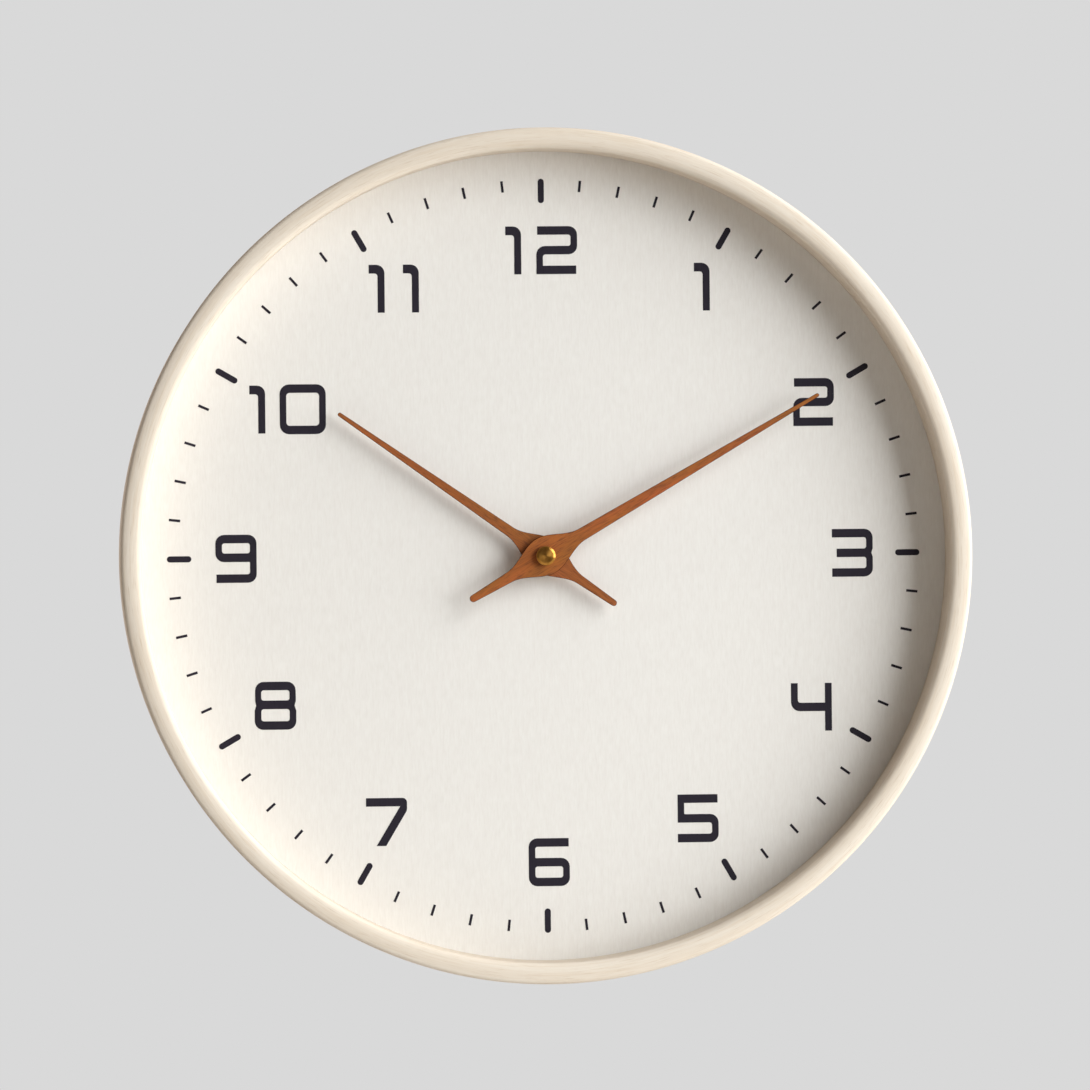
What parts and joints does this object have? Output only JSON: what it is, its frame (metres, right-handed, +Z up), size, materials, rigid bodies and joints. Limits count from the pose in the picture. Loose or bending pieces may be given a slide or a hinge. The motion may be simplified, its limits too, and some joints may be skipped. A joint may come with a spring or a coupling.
{
  "type": "wall clock",
  "caption": "Round wall clock with a deep pale bent-wood ring, linen dial, slim wooden hour and minute hands and a battery quartz movement.",
  "frame": {"origin": "the wall hook: centre of the top end of the keyhole in the hanger plate, in the plane of the wall", "axes": "+Z up, +Y back into the wall, so the dial faces -Y and +X is to the right as seen from the front; the dial axis is 118 mm below the origin"},
  "size_m": [0.3, 0.046, 0.3],
  "materials": {
    "ring_wood": "pale straight-grained birch veneer, clear satin lacquer",
    "dial_linen": "off-white matt linen-textured dial sheet",
    "fibreboard": "unfinished medium-density fibreboard",
    "block_wood": "sawn softwood",
    "hand_wood": "thin oiled walnut-brown wood, satin",
    "brass": "turned brass, bright",
    "steel": "zinc-plated steel",
    "black_plastic": "fine-textured black moulded plastic",
    "white_plastic": "natural white moulded acetal",
    "rubber": "soft black rubber",
    "copper_wire": "enamelled copper wire",
    "circuit_laminate": "green circuit laminate",
    "battery_sleeve": "plain printed cell sleeve",
    "magnet": "sintered magnet"
  },
  "bodies": {
    "clock_body": {"back_panel": "fibreboard", "bush_nut": "brass", "bush_washer": "brass", "circuit_board": "circuit_laminate", "clock_chip": "black_plastic", "coil_bobbin": "white_plastic", "coil_core": "steel", "coil_winding": "copper_wire", "contact_spring": "steel", "corner_block_1": "block_wood", "corner_block_2": "block_wood", "corner_block_3": "block_wood", "corner_block_4": "block_wood", "dial_board": "fibreboard", "dial_face": "dial_linen", "frame_ring": "ring_wood", "hanger_plate": "steel", "hanger_screw_1": "steel", "hanger_screw_2": "steel", "movement_front_case": "black_plastic", "movement_gasket": "rubber", "movement_rear_cover": "black_plastic", "negative_contact": "steel", "panel_screw_1": "steel", "panel_screw_2": "steel", "panel_screw_3": "steel", "panel_screw_4": "steel", "positive_contact": "steel", "quartz_crystal": "steel", "stator": "steel", "threaded_bush": "brass", "train_plate": "white_plastic"},
    "minute_hand_body": {"minute_hand": "hand_wood", "minute_hand_bush": "brass", "hand_nut": "brass", "minute_arbor": "steel", "cannon_pinion": "brass"},
    "hour_hand_body": {"hour_hand": "hand_wood", "hour_hand_bush": "brass", "hour_wheel": "white_plastic"},
    "reverse_gear": {"reverse_wheel": "white_plastic"},
    "setting_knob": {"set_knob": "black_plastic"},
    "centre_gear": {"centre_wheel": "brass"},
    "third_gear": {"third_wheel": "white_plastic"},
    "second_gear": {"second_wheel": "white_plastic"},
    "fifth_gear": {"fifth_wheel": "white_plastic"},
    "motor_rotor": {"rotor_pinion": "white_plastic", "rotor_magnet": "magnet"},
    "battery_cell": {"battery": "battery_sleeve"}
  },
  "joints": [
    {"name": "minute_turn", "type": "hinge", "parent": "clock_body", "child": "minute_hand_body", "pos_m": [0, -0.025, -0.118], "axis": [0, 1, 0], "continuous": true},
    {"name": "hour_turn", "type": "hinge", "parent": "clock_body", "child": "hour_hand_body", "pos_m": [0, -0.025, -0.118], "axis": [0, 1, 0], "continuous": true},
    {"name": "reverse_turn", "type": "hinge", "parent": "clock_body", "child": "reverse_gear", "pos_m": [-0.01039, -0.018, -0.112], "axis": [0, 1, 0], "continuous": true},
    {"name": "knob_turn", "type": "hinge", "parent": "clock_body", "child": "setting_knob", "pos_m": [-0.02079, -0.01, -0.118], "axis": [0, 1, 0], "continuous": true},
    {"name": "second_turn", "type": "hinge", "parent": "clock_body", "child": "second_gear", "pos_m": [0, -0.012, -0.118], "axis": [0, 1, 0], "continuous": true},
    {"name": "third_turn", "type": "hinge", "parent": "clock_body", "child": "third_gear", "pos_m": [0.00781, -0.012, -0.12456], "axis": [0, 1, 0], "continuous": true},
    {"name": "centre_turn", "type": "hinge", "parent": "clock_body", "child": "centre_gear", "pos_m": [0, -0.015, -0.118], "axis": [0, 1, 0], "continuous": true},
    {"name": "fifth_turn", "type": "hinge", "parent": "clock_body", "child": "fifth_gear", "pos_m": [-0.00175, -0.012, -0.10807], "axis": [0, 1, 0], "continuous": true},
    {"name": "rotor_turn", "type": "hinge", "parent": "clock_body", "child": "motor_rotor", "pos_m": [0.00665, -0.011, -0.10807], "axis": [0, 1, 0], "continuous": true},
    {"name": "battery_slide", "type": "slide", "parent": "clock_body", "child": "battery_cell", "axis": [0, 1, 0], "range_m": [0, 0.03]}
  ],
  "couplings": [
    {"joint": "hour_turn", "follows": "minute_turn", "ratio": 0.083333},
    {"joint": "reverse_turn", "follows": "minute_turn", "ratio": -0.33333},
    {"joint": "knob_turn", "follows": "minute_turn", "ratio": 1},
    {"joint": "fifth_turn", "follows": "second_turn", "ratio": -5},
    {"joint": "rotor_turn", "follows": "second_turn", "ratio": 30},
    {"joint": "third_turn", "follows": "second_turn", "ratio": -0.125},
    {"joint": "centre_turn", "follows": "second_turn", "ratio": 0.016667}
  ]
}
